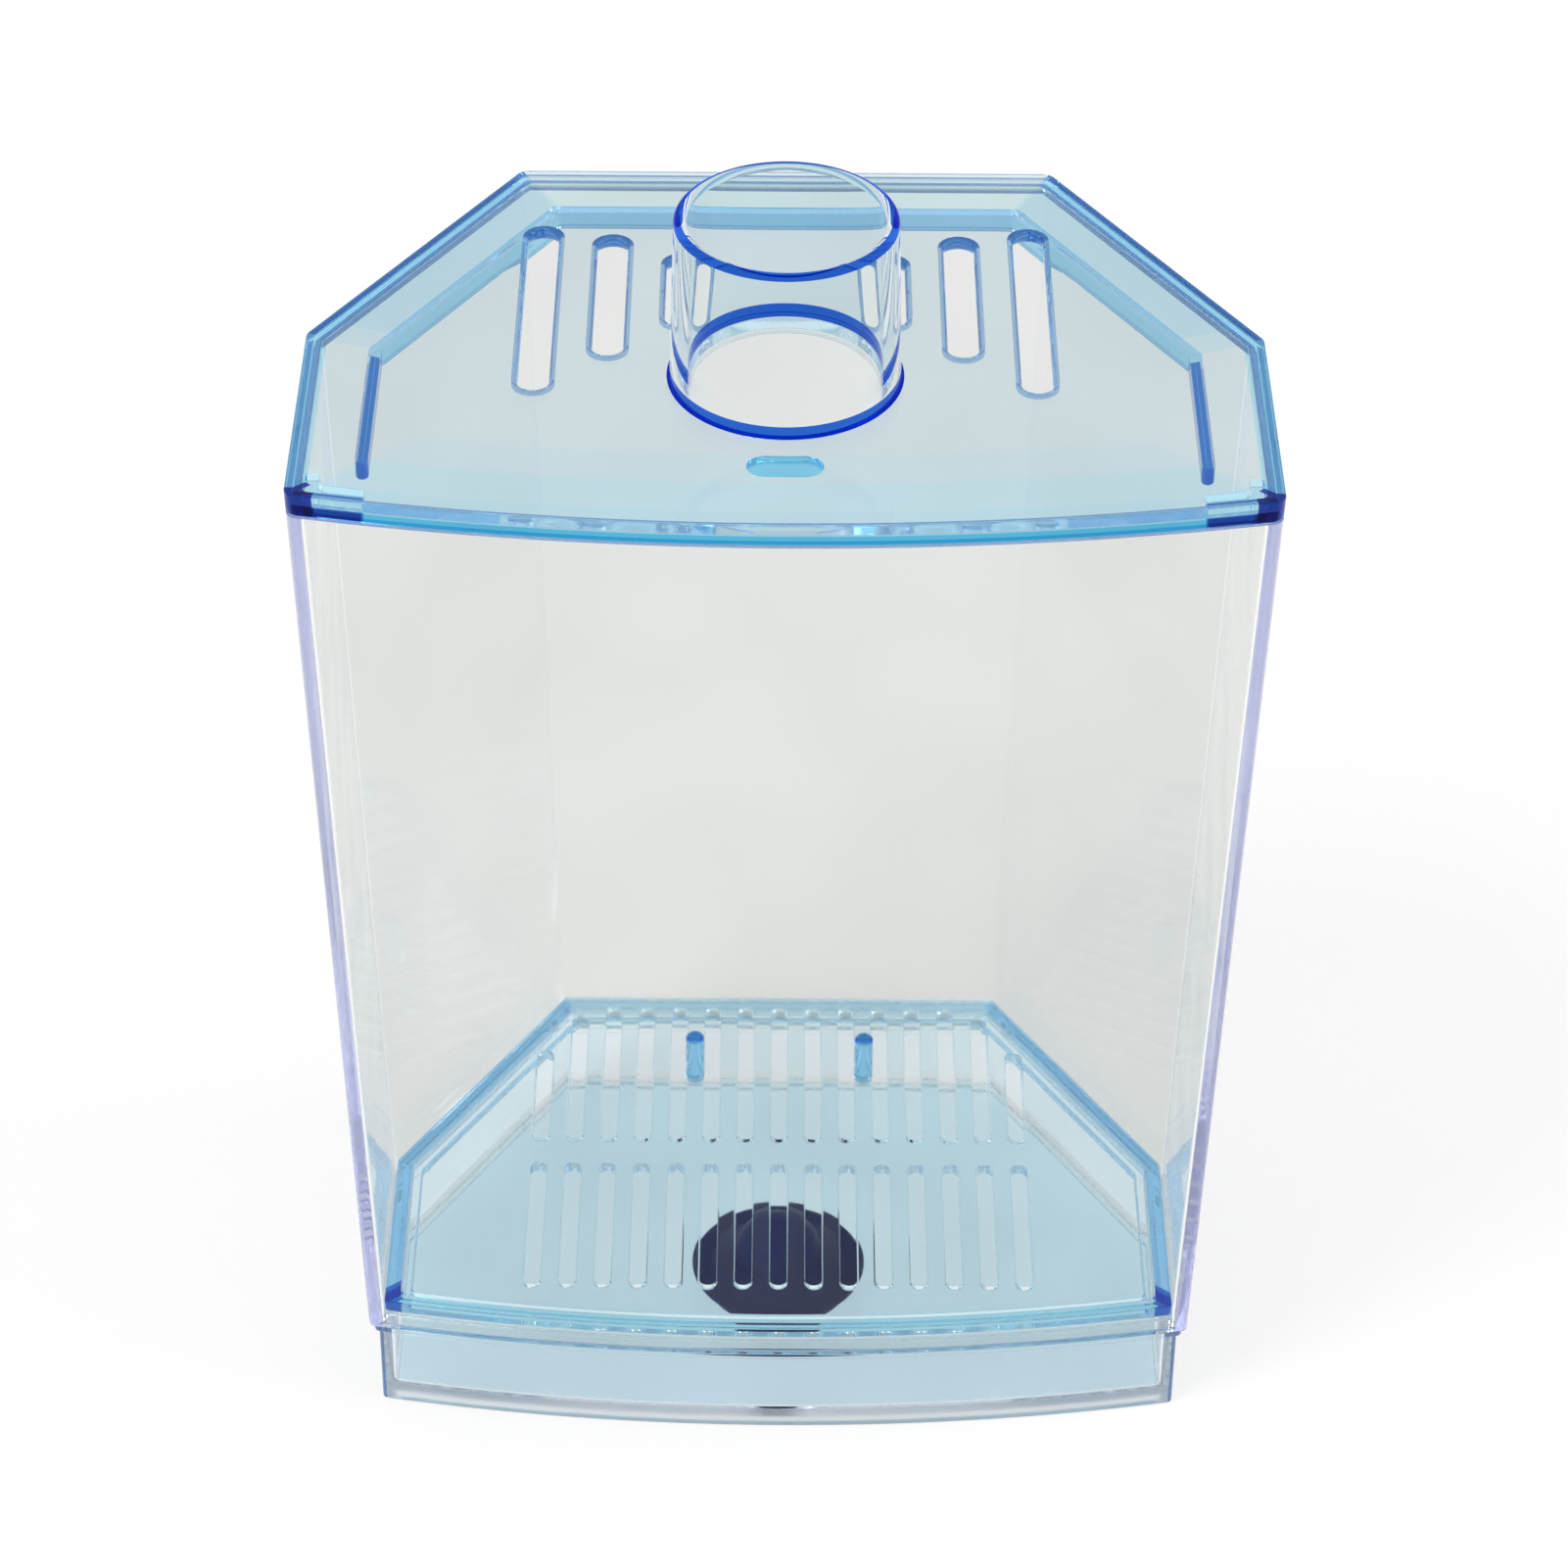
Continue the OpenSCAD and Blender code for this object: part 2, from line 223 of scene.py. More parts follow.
def combine(obj, others, operation):
    # cuts the others out of the object, or joins them to it, and keeps only the result
    for other in others:
        mod = obj.modifiers.new("cut", "BOOLEAN")
        mod.operation = operation
        mod.solver = "MANIFOLD"
        mod.object = other
    graph = bpy.context.evaluated_depsgraph_get()
    mesh = bpy.data.meshes.new_from_object(obj.evaluated_get(graph))
    obj.modifiers.clear()
    old = obj.data
    obj.data = mesh
    mesh.name = obj.name
    bpy.data.meshes.remove(old)
    for other in others:
        bpy.data.objects.remove(other)


def faceVectors(obj, kind):
    # each face's centre, in metres, or its normal
    vectors = np.empty(len(obj.data.polygons) * 3)
    obj.data.polygons.foreach_get(kind, vectors)
    return vectors.reshape(-1, 3)


def faceTint(obj, look):
    # flat faces, upright faces and the rounded edges between them each take their own tint; these differences
    # are painted shade and light, standing in for the dark and bright lines that inner reflection draws in
    # clear plastic
    level = np.abs(faceVectors(obj, "normal")[:, 2])
    tints = [look[key] for key in ("upright", "edge", "edge", "colour")]
    return np.stack([np.interp(level, tintLevels, channel) for channel in zip(*tints)], axis=1)


def oneTint(colour):
    # the same tint on flat faces, upright faces and rounded edges
    return {"colour": colour, "upright": colour, "edge": colour}


def paintLightShadeAndFrost(obj, look, *zones):
    # one colour for each face, which the finish reads, holding painted shade and light, and a frost for each
    # face; a zone is its faces and the values they take instead
    tint = faceTint(obj, look)
    frost = np.zeros(len(tint))
    for chosen, changes in zones:
        tint[chosen] = faceTint(obj, {**look, **changes})[chosen]
        frost[chosen] = changes.get("frost", 0.0)
    layer = obj.data.attributes.new("tint", "FLOAT_COLOR", "FACE")
    layer.data.foreach_set("color", np.column_stack([tint, frost]).ravel())


def insetAt(spots):
    # how far each place is in from the lid's outline, and the edge it is nearest to
    x, y = np.abs(spots[:, 0]), spots[:, 1]
    bevel = plan["bevelFar"] - x * math.cos(plan["bevel"]) - y * math.sin(plan["bevel"])
    bow = plan["bowRadius"] - np.hypot(x, y - plan["bowY"])
    ways = {"side": plan["halfWidth"] - x, "rear": plan["rear"] - y, "bevel": bevel, "bow": bow}
    table = np.array(list(ways.values()))
    return table.min(axis=0), np.array(list(ways))[table.argmin(axis=0)]


def finishPiece(obj, body, slotName, material, *nodes):
    # smooth faces with true edges kept, then the piece's finish, its body and the nodes it stands for
    obj.data.shade_smooth()
    obj.data.set_sharp_from_angle(angle=math.radians(sharpAngle))
    weighted = obj.modifiers.new("evenNormals", "WEIGHTED_NORMAL")
    weighted.keep_sharp = True
    obj.data.materials.clear()
    obj.data.materials.append(material)
    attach(obj, body)
    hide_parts(*nodes)
    print("made", obj.name, len(obj.data.polygons), "faces")


def newNode(tree, kind, **values):
    # a shader node with its own settings, or its unlinked inputs, set by name
    node = tree.nodes.new(kind)
    for key, value in values.items():
        if hasattr(node, key):
            setattr(node, key, value)
        else:
            node.inputs[key].default_value = value
    return node


def noiseTexture(tree, coords, scale, detail):
    # cloudy noise, with scale cells to the metre
    noise = newNode(tree, "ShaderNodeTexNoise", Scale=scale, Detail=detail)
    tree.links.new(coords, noise.inputs["Vector"])
    return noise.outputs["Fac"]


def mapRange(tree, source, span, low, high):
    # carries the source's span onto low to high
    node = newNode(tree, "ShaderNodeMapRange")
    for key, value in (("From Min", span[0]), ("From Max", span[1]), ("To Min", low), ("To Max", high)):
        node.inputs[key].default_value = value
    tree.links.new(source, node.inputs["Value"])
    return node.outputs["Result"]


def mathNode(tree, kind, first, second):
    # the named sum of two outputs, such as ADD or MAXIMUM
    node = newNode(tree, "ShaderNodeMath", operation=kind)
    tree.links.new(first, node.inputs[0])
    tree.links.new(second, node.inputs[1])
    return node.outputs[0]


def startMaterial(name):
    # an empty finish: its nodes, its shader and the piece's own coordinates
    material = bpy.data.materials.new(name)
    material.use_nodes = True
    tree = material.node_tree
    shader = tree.nodes["Principled BSDF"]
    coords = newNode(tree, "ShaderNodeTexCoord").outputs["Object"]
    print("finish", name)
    return material, tree, shader, coords


def blendColours(tree, factor, first, second, kind="MIX"):
    # each colour is an output to link or three numbers
    mix = newNode(tree, "ShaderNodeMix", data_type="RGBA", blend_type=kind)
    for socket, value in ((mix.inputs["A"], first), (mix.inputs["B"], second)):
        if isinstance(value, tuple):
            socket.default_value = (*value, 1)
        else:
            tree.links.new(value, socket)
    tree.links.new(factor, mix.inputs["Factor"])
    return mix.outputs["Result"]


def moulded(tree, shader, coords, look):
    # the tint, with each face's painted shade and light where the look has them, uneven in faint patches;
    # uneven gloss, rougher where a face is frosted; and the long shallow waves of a moulded face
    tint = look["colour"]
    grain = noiseTexture(tree, coords, look["grain"], 1)
    gloss = mapRange(tree, grain, noiseSpan, look["roughLow"], look["roughHigh"])
    if "edge" in look:
        paintedShadeAndFrost = newNode(tree, "ShaderNodeAttribute", attribute_name="tint")
        tint = paintedShadeAndFrost.outputs["Color"]
        gloss = mathNode(tree, "ADD", paintedShadeAndFrost.outputs["Alpha"], gloss)
    patches = mapRange(tree, noiseTexture(tree, coords, look["patch"], 0), noiseSpan, 0, 1)
    tint = blendColours(tree, patches, tint, (look["tintLow"],) * 3, "MULTIPLY")
    tree.links.new(tint, shader.inputs["Base Color"])
    tree.links.new(gloss, shader.inputs["Roughness"])
    waves = newNode(tree, "ShaderNodeBump", Strength=1.0, Distance=look["waveDepth"])
    tree.links.new(noiseTexture(tree, coords, look["wave"], 0), waves.inputs["Height"])
    tree.links.new(waves.outputs["Normal"], shader.inputs["Normal"])


def clearPlastic(name, look):
    # light passes through, and the longer its way inside, the more colour the depth takes out of it
    material, tree, shader, coords = startMaterial(name)
    shader.inputs["Transmission Weight"].default_value = 1.0
    shader.inputs["IOR"].default_value = look["ior"]
    shader.inputs["Specular Tint"].default_value = (*[look["sheen"]] * 3, 1)
    moulded(tree, shader, coords, look)
    depth = newNode(tree, "ShaderNodeVolumeAbsorption", Density=look["depth"])
    depth.inputs["Color"].default_value = (*look["depthColour"], 1)
    tree.links.new(depth.outputs["Volume"], tree.nodes["Material Output"].inputs["Volume"])
    return material


def rubber(name, look):
    # no light passes, and the shine is low
    material, tree, shader, coords = startMaterial(name)
    shader.inputs["Specular IOR Level"].default_value = look["shine"]
    moulded(tree, shader, coords, look)
    return material


# what all the finishes share; in each look, colour is for flat faces, upright for upright ones, edge between
surface = {"tintLow": 0.975, "patch": 45, "grain": 900, "roughLow": 0.012, "roughHigh": 0.05,
           "wave": 70, "waveDepth": 0.00004, "ior": 1.49, "sheen": 0.06}


tank = {"wall": 2.4, "rebateIn": 1.4, "rebateDrop": 1.9, "edge": 0.45, "rimEdge": 0.25,
        "stepEdge": 0.15, "stepCove": 0.1}
wallLook = {**surface, "colour": (0.80, 0.90, 0.97), "upright": (0.97, 0.975, 0.955),
            "edge": (0.78, 0.86, 0.95), "depth": 4.5, "depthColour": (0.45, 0.50, 0.88)}
# painted shade: the rear walls' upright faces are painted darker than the front ones
wallRearShade = {"upright": (0.80, 0.81, 0.795)}
wallClear = clearPlastic("wallClear", wallLook)


def makeTank():
    # the wall's section, thinner outside at the rim, carried round the plan and leaning in towards its foot
    foot, rim = tankBox[0][2] + air, tankBox[1][2] - air
    step = tankBox[1][2] - tank["rebateDrop"]
    middle, wall, inside = tank["wall"] / 2, tank["wall"], tank["rebateIn"]
    line = roundedLine([
        (middle, foot, 0), (0, foot, tank["edge"]), (0, step, tank["stepEdge"]),
        (inside, step, tank["stepCove"]), (inside, rim, tank["rimEdge"]), (wall, rim, tank["rimEdge"]),
        (wall, foot, tank["edge"]), (middle, foot, 0)])
    obj = ringMesh("tankWall", planRings(line[:-1], plan["lean"]))
    finishPiece(obj, "tank", "clear_wall", wallClear, "tank_body")
    # the faces behind the side walls take the painted shade
    rear = faceVectors(obj, "center")[:, 1] > plan["sideY"] * mm
    paintLightShadeAndFrost(obj, wallLook, (rear, wallRearShade))


makeTank()


base = {"inset": 6.4, "rimInset": 7.9, "wall": 2.2, "ledge": 16.0, "footHeight": 1.0, "floor": 3.0,
        "beadInset": 5.7, "beadHeight": 1.6, "drainRadius": 7.0, "drainY": -11.0,
        "edge": 0.35, "cove": 1.2, "footCove": 0.2, "beadCove": 0.2, "beadLow": 0.25, "beadTop": 0.3,
        "rimCove": 0.15, "ledgeCove": 0.5, "ledgeEdge": 0.4, "drainEdge": 0.3,
        "wallBand": 6.0, "drainBand": 2.0,  # how far the wall's and the drain's rings reach over the floor
        "satin": 4.2, "satinIn": 0.3,  # the wall's outside is frosted up to here, and this far in
        "cornerWide": 1.4, "cornerDeep": 0.6}  # the size of the corners' painted shade
baseLook = {**surface, "colour": (0.71, 0.895, 0.98), "upright": (0.85, 0.93, 0.965),
            "edge": (0.84, 0.93, 0.97), "depth": 2, "depthColour": (0.1, 0.5, 0.95)}
# painted light and shade on the base: the front and the frosted low strip painted lighter, the rear painted
# darker, and the front corners painted with dark shade
baseTints = {
    "front": {"upright": (0.94, 0.955, 0.965)},
    "rear": {"upright": (0.80, 0.89, 0.93)},
    "low": {"upright": (0.94, 0.955, 0.965), "frost": 0.5},
    "corner": {"upright": (0.14, 0.25, 0.58), "edge": (0.18, 0.30, 0.62)},
}
baseBlue = clearPlastic("baseBlue", baseLook)


def makeBase():
    # foot, wall, bead, rim, ledge and floor are one section carried round the plan; the last rings are the
    # drain hole's, and the floor spans between them and the wall's
    out, inn = base["inset"], base["inset"] + base["wall"]
    rimOut, rimIn = base["rimInset"], base["rimInset"] + base["wall"]
    top, beadTop = baseBox[1][2] - air, tankBox[0][2] - air
    beadOut, beadLow = base["beadInset"], beadTop - base["beadHeight"]
    foot, floor, ledge = base["footHeight"], base["floor"], base["ledge"]
    flat, edge = inn + base["wallBand"], base["edge"]
    line = roundedLine([
        (flat, foot, 0), (inn, foot, base["footCove"]), (inn, 0, edge), (out, 0, edge),
        (out, base["satin"], 0), (out, beadLow, base["beadCove"]), (beadOut, beadLow, base["beadLow"]),
        (beadOut, beadTop, base["beadTop"]), (rimOut, beadTop, base["rimCove"]),
        (rimOut, top, edge), (rimIn, top, edge),
        (rimIn, ledge, base["ledgeCove"]), (inn, ledge, base["ledgeEdge"]), (inn, floor, base["cove"]),
        (flat, floor, 0)])
    rings = planRings(line)
    drain, far = base["drainRadius"], base["drainRadius"] + base["drainBand"]
    hole = roundedLine([
        (far, floor, 0), (drain, floor, base["drainEdge"]), (drain, foot, base["drainEdge"]), (far, foot, 0)])
    rings = np.concatenate([rings, roundRings(hole, (0, base["drainY"]), rings[0])])
    obj = ringMesh("baseTray", rings)
    finishPiece(obj, "tank", "base_plastic", baseBlue, "sump_base")
    spots = faceVectors(obj, "center") / mm
    inset, side = insetAt(spots)
    wide = np.abs(spots[:, 0]) > plan["halfWidth"] - out - base["cornerWide"]
    corner = wide & (spots[:, 1] < plan["cornerY"] + out + base["cornerDeep"])
    low = (spots[:, 2] < base["satin"]) & (inset < out + base["satinIn"])
    # the front, the low strip, the rear and the front corners take their painted light and shade
    paintLightShadeAndFrost(obj, baseLook, (side == "bow", baseTints["front"]), (side == "rear", baseTints["rear"]),
             (low, baseTints["low"]), (corner, baseTints["corner"]))


makeBase()


seal = {"top": 20.4, "lowEdge": 0.05, "topEdge": 0.2}
sealLook = {**surface, "colour": (0.96, 0.98, 0.985), "depth": 2, "depthColour": (0.5, 0.75, 0.95),
            "roughLow": 0.12, "roughHigh": 0.2, "ior": 1.41}
sealMilky = clearPlastic("sealMilky", sealLook)


def makeSeal():
    # what fills the gap between the wall's leaning inside and the base's upright rim, carried round the plan
    low, high = sealBox[0][2] + air, seal["top"]
    wallLow, wallHigh = [tank["wall"] + air + (lidBox[1][2] - z) * plan["lean"] for z in (low, high)]
    start, inner = wallLow + seal["topEdge"], base["rimInset"] - air
    line = roundedLine([
        (start, low, 0), (wallLow, low, seal["lowEdge"]), (wallHigh, high, seal["topEdge"]),
        (inner, high, seal["topEdge"]), (inner, low, seal["lowEdge"]), (start, low, 0)])
    obj = ringMesh("jointSeam", planRings(line[:-1]))
    finishPiece(obj, "tank", "seal_silicone", sealMilky, "joint_seal")


makeSeal()


def stadiumRings(centre, width, length, grow, z, turned=False, steps=10):
    # a long hole's outline, half circle at each end, grown sideways by grow at each height z
    angle = np.concatenate([np.linspace(0, math.pi, steps), np.linspace(math.pi, 2 * math.pi, steps)])
    shift = np.repeat([0.5, -0.5], steps) * (length - width)
    radius = width / 2 + np.asarray(grow)[:, None]
    x, y = radius * np.cos(angle), radius * np.sin(angle) + shift
    if turned:
        x, y = -y, x
    heights = np.broadcast_to(np.asarray(z, float)[:, None], x.shape)
    return np.stack([centre[0] + x, centre[1] + y, heights], axis=2)


def flare(low, high, edge, over=1.0, steps=4):
    # sideways growth and height of a cutter that leaves both rims of its hole rounded
    t = np.linspace(0, math.pi / 2, steps + 1)
    grow, drop = edge * (1 - np.sin(t)), edge * (1 - np.cos(t))
    g = np.concatenate([[edge], grow, grow[::-1], [edge]])
    z = np.concatenate([[low - over], low + drop, high - drop[::-1], [high + over]])
    return g, z


def longHole(name, centre, width, length, low, high, edge):
    # the cutter of a long hole from low to high, flared by edge at both rims
    grow, z = flare(low, high, edge)
    return ringMesh(name, stadiumRings(centre, width, length, grow, z), closed=False)


plate = {"inset": 7.75, "lipInset": 10.4, "lipWall": 1.6, "lipHeight": 2.0, "slots": 15, "pitch": 6.05,
         "slotWidth": 2.9, "rearSlot": 36.0, "frontSlot": 31.0, "bridge": 6.6, "rowY": plan["sideY"] + 0.5,
         "edge": 0.3, "lipCove": 0.2, "panelCove": 0.4,
         "lipBand": 4.0, "overlap": 0.5,  # the ring inside the lip, and how far the panel runs under it
         "cornerSpan": 3.0}
plateLook = {**surface, "colour": (0.90, 0.965, 0.98), "upright": (0.75, 0.88, 0.94),
             "edge": (0.62, 0.80, 0.90), "depth": 5, "depthColour": (0.05, 0.55, 0.98)}
# painted light and shade on the plate: the lip and border painted darker blue, the border's rear and front
# lighter, and the front corners painted with dark shade
plateTints = {
    "lip": {"colour": (0.86, 0.95, 0.985), "upright": (0.80, 0.93, 0.98), "edge": (0.68, 0.87, 0.96)},
    "border": {"colour": (0.44, 0.73, 0.96), "upright": (0.34, 0.65, 0.95), "edge": (0.28, 0.60, 0.94)},
    "rear": {"colour": (0.88, 0.97, 0.99), "upright": (0.60, 0.84, 0.96), "edge": (0.52, 0.79, 0.95)},
    "front": {"colour": (0.55, 0.88, 0.985), "upright": (0.50, 0.88, 0.99), "edge": (0.42, 0.82, 0.98)},
    "corner": oneTint((0.002, 0.05, 0.50)),
}
plateBlue = clearPlastic("plateBlue", plateLook)


def rearEnd(x):
    # the outer slots stop where the plate's bevelled border begins
    far = plan["bevelFar"] - plate["lipInset"] - plate["lipWall"]
    limit = (far - (abs(x) + plate["slotWidth"] / 2) * math.cos(plan["bevel"])) / math.sin(plan["bevel"])
    return min(plate["rowY"] + plate["bridge"] / 2 + plate["rearSlot"], limit)


def slotCutters(low, high):
    # a front and a rear slot on each line of the pitch, with a bridge between the two rows
    cutters = []
    for i in range(plate["slots"]):
        x = (i - (plate["slots"] - 1) / 2) * plate["pitch"]
        start, end = plate["rowY"] + plate["bridge"] / 2, rearEnd(x)
        middle = plate["rowY"] - (plate["bridge"] + plate["frontSlot"]) / 2
        for y, length in (((start + end) / 2, end - start), (middle, plate["frontSlot"])):
            cutters.append(longHole("slot", (x, y), plate["slotWidth"], length, low, high, plate["edge"]))
    return cutters


def makePlate():
    # border and lip are one section carried round the plan; the panel is joined in, and the slots are cut out
    low, high = baseBox[1][2] + air, plateBox[1][2]
    lipOut, lipIn = plate["lipInset"], plate["lipInset"] + plate["lipWall"]
    out, far, bottom, edge = plate["inset"], lipIn + plate["lipBand"], low - plate["lipHeight"], plate["edge"]
    line = roundedLine([
        (far, high, 0), (lipIn, high, 0), (lipOut, high, 0), (out, high, edge), (out, low, edge),
        (lipOut, low, plate["lipCove"]), (lipOut, bottom, edge), (lipIn, bottom, edge),
        (lipIn, low, plate["panelCove"]), (far, low, 0)])
    obj = ringMesh("falseBottom", planRings(line))
    start = far - plate["overlap"]
    panel = ringMesh("panel", planRings(np.array([(start, low), (start, high)])), closed=False)
    combine(obj, [panel], "UNION")
    combine(obj, slotCutters(low, high), "DIFFERENCE")
    finishPiece(obj, "false_bottom", "plate_plastic", plateBlue, "slotted_plate")
    spots = faceVectors(obj, "center") / mm
    inset, side = insetAt(spots)
    wide = np.abs(spots[:, 0]) > plan["halfWidth"] - out - plate["cornerSpan"]
    corner = wide & (spots[:, 1] < plan["cornerY"] + out + plate["cornerSpan"])
    border = inset < lipOut + near
    # the lip, border, rear, front and corners take their painted light and shade
    paintLightShadeAndFrost(obj, plateLook, (inset < lipIn + near, plateTints["lip"]), (border, plateTints["border"]),
             (border & (side == "rear"), plateTints["rear"]), (border & (side == "bow"), plateTints["front"]),
             (border & corner, plateTints["corner"]))


makePlate()


peg = {"footEdge": 0.25, "domeShare": 0.6, "domeSteps": 8, "sides": 40}
pegLook = {**surface, "colour": (0.12, 0.42, 0.66), "upright": (0.50, 0.84, 0.99), "edge": (0.10, 0.38, 0.66),
           "depth": 90, "depthColour": (0.03, 0.6, 0.99)}
pegBlue = clearPlastic("pegBlue", pegLook)


def makePeg(name, node):
    # a round pin on the plate, as wide and as high as its node, domed by a share of its own radius
    low, high = nodeBox(node)
    centre = ((low[0] + high[0]) / 2, (low[1] + high[1]) / 2)
    foot, radius = plateBox[1][2] + air, (high[0] - low[0]) / 2
    line = roundedLine([
        (0, foot, 0), (radius, foot, peg["footEdge"]), (radius, high[2], radius * peg["domeShare"]),
        (0, high[2], 0)], peg["domeSteps"])
    line[0, 0] = line[-1, 0] = tip
    obj = ringMesh(name, roundRings(line, centre, sides=peg["sides"]), closed=False)
    finishPiece(obj, "false_bottom", "peg_plastic", pegBlue, node)
    # the peg's top and edges painted darker and its side lighter: painted shade and light
    paintLightShadeAndFrost(obj, pegLook)


makePeg("pegLeft", "lift_peg_left")
makePeg("pegRight", "lift_peg_right")


lid = {"lap": 1.6, "lapWall": 1.1, "edge": 0.35, "lapEdge": 0.3, "lapCove": 0.2,
       "topLine": 1.4, "lowLine": 1.0, "panelStart": 19.5, "holeEdge": 0.2, "holeBand": 3.0,
       "ventWidth": 4.8, "ventEdge": 1.0,
       "vents": ((39.0, 9.2, 47.0), (27.8, 13.0, 34.5), (16.6, 14.6, 20.0)),  # x, y and length of each pair
       "ribInset": 10.0, "ribWall": 2.0, "ribFront": 11.0, "ribHeight": 3.2, "ribEdge": 0.4, "ribRoot": 0.8,
       "lugInset": 2.8, "lugWall": 2.2, "lugLength": 12.0, "lugBack": 7.2, "lugEdge": 0.2, "cornerPatch": 3.4,
       "dimpleY": 8.4, "dimpleLength": 11.8, "dimpleWidth": 5.6, "dimpleDepth": 0.8, "dimpleSlope": 1.6,
       "dimpleFlare": 0.3, "dimpleRise": 0.4, "dimpleReach": 0.6}
collarHole = {"radius": 17.0, "y": (collarBox[0][1] + collarBox[1][1]) / 2}
# painted light and shade on the lid: upright faces and edges painted dark blue, lighter and darker bands
# round the rim, dark lines along the bevel's top and the front's lower edge, dark rib sides and front
# corners, a darker rib and darker vent ends at the rear, a brighter blue dimple, and a panel bluer towards
# the rim
lidLook = {**surface, "colour": (0.78, 0.89, 0.94), "upright": (0.05, 0.28, 0.82),
           "edge": (0.003, 0.04, 0.50), "depth": 3, "depthColour": (0.1, 0.65, 0.97), "sheen": 0.1}
lidTints = {
    "panelNext": {"colour": (0.73, 0.885, 0.955)},
    "panelNear": {"colour": (0.66, 0.88, 0.97)},
    "band": {"colour": (0.60, 0.84, 0.96)},
    "bandRear": {"colour": (0.78, 0.95, 0.99)},
    "rim": {"colour": (0.34, 0.78, 0.93), "upright": (0.34, 0.77, 0.93), "edge": (0.20, 0.62, 0.87)},
    "front": {"colour": (0.58, 0.86, 0.975), "upright": (0.54, 0.84, 0.975), "edge": (0.46, 0.79, 0.95)},
    "frontLow": {"upright": (0.03, 0.42, 0.86), "edge": (0.03, 0.42, 0.86)},
    "bevel": {"colour": (0.30, 0.76, 0.97), "upright": (0.74, 0.90, 0.98), "edge": (0.72, 0.88, 0.97)},
    "bevelTop": oneTint((0.02, 0.14, 0.45)),
    "rear": {"upright": (0.72, 0.86, 0.92), "edge": (0.70, 0.86, 0.93)},
    "hole": {"upright": (0.92, 0.97, 0.98), "edge": (0.75, 0.90, 0.96)},
    "dimple": oneTint((0.09, 0.57, 1.0)),
    "vent": {"colour": (0.18, 0.36, 0.68), "upright": (0.50, 0.72, 0.90), "edge": (0.14, 0.30, 0.62)},
    "ventRear": oneTint((0.015, 0.08, 0.38)),
    "rib": {"colour": (0.18, 0.54, 0.93), "upright": (0.40, 0.75, 0.95), "edge": (0.18, 0.54, 0.93)},
    "ribRearShade": {"colour": (0.12, 0.42, 0.86), "upright": (0.36, 0.68, 0.93), "edge": (0.12, 0.42, 0.86)},
    "ribSide": oneTint((0.001, 0.045, 0.46)),
    "lug": oneTint((0.42, 0.78, 0.96)),
    "cornerLow": oneTint((0.01, 0.07, 0.42)),
    "corner": oneTint((0.001, 0.005, 0.16)),
}
lidBlue = clearPlastic("lidBlue", lidLook)


def ribRings(grow, z, steps=10):
    # U-shaped plan: side, bevel and rear along the outer face, a half circle, and back along the inner face
    first = plan["bowSteps"] + plan["cornerSteps"]
    front = plan["cornerY"] + lid["ribFront"]
    rings = []
    for g, height in zip(grow, z):
        outer = halfPlan(lid["ribInset"] - g)[0][first:]
        inner = halfPlan(lid["ribInset"] + lid["ribWall"] + g)[0][first:]
        outer[0, 1] = inner[0, 1] = front
        middle, radius = (outer[0, 0] + inner[0, 0]) / 2, (outer[0, 0] - inner[0, 0]) / 2
        angle = np.linspace(math.pi, 2 * math.pi, steps)[1:-1]
        end = np.stack([middle + radius * np.cos(angle), front + radius * np.sin(angle)], axis=1)
        right = np.concatenate([end, outer])
        left = outer[-2::-1] * (-1, 1)
        rest = np.concatenate([end[::-1] * (-1, 1), inner * (-1, 1), inner[-2::-1]])
        loop = np.concatenate([right, left, rest])
        rings.append(np.column_stack([loop, np.full(len(loop), height)]))
    return np.array(rings)


def lugRings(side, grow, z):
    # L-shaped plan in a front corner: along the bow, round the corner and back along the side wall
    last = plan["bowSteps"] + plan["cornerSteps"] + 2
    rings = []
    for g, height in zip(grow, z):
        xEnd, yEnd = plan["halfWidth"] - lid["lugLength"] - g, plan["cornerY"] + lid["lugBack"] + g
        outer = trimLug(halfPlan(lid["lugInset"] - g)[0][:last], xEnd, yEnd)
        inner = trimLug(halfPlan(lid["lugInset"] + lid["lugWall"] + g)[0][:last], xEnd, yEnd)
        loop = np.concatenate([outer, inner[::-1]]) * (side, 1)
        rings.append(np.column_stack([loop, np.full(len(loop), height)]))
    return np.array(rings)


def trimLug(line, xEnd, yEnd, steps=6):
    # starts the line at xEnd on the bow and stops it at yEnd on the side
    bowEnd, cornerEnd = plan["bowSteps"], plan["bowSteps"] + plan["cornerSteps"]
    x = np.linspace(xEnd, line[bowEnd, 0], steps)
    bow = np.column_stack([x, np.interp(x, line[: bowEnd + 1, 0], line[: bowEnd + 1, 1])])
    return np.concatenate([bow, line[bowEnd + 1 : cornerEnd + 1], [(line[cornerEnd, 0], yEnd)]])


def downFlare(low, high, edge, steps=4):
    # inward growth and height of a rib whose lower edge is rounded
    t = np.linspace(0, math.pi / 2, steps + 1)
    return np.append(-edge * (1 - np.sin(t)), 0), np.append(low + edge * (1 - np.cos(t)), high)


def lidRibs(under):
    # the U-shaped rib, closed below along its middle, and the two lugs; all run up into the panel
    low, high = under - lid["ribHeight"], under + lid["ribRoot"]
    grow, z = downFlare(low, high, lid["ribEdge"])
    grow, z = np.append(tip - lid["ribWall"] / 2, grow), np.append(z[0], z)
    ribs = [ringMesh("rib", ribRings(grow, z), closed=False)]
    grow, z = downFlare(low, high, lid["lugEdge"])
    return ribs + [ringMesh("lug", lugRings(side, grow, z), closed=False) for side in (-1, 1)]


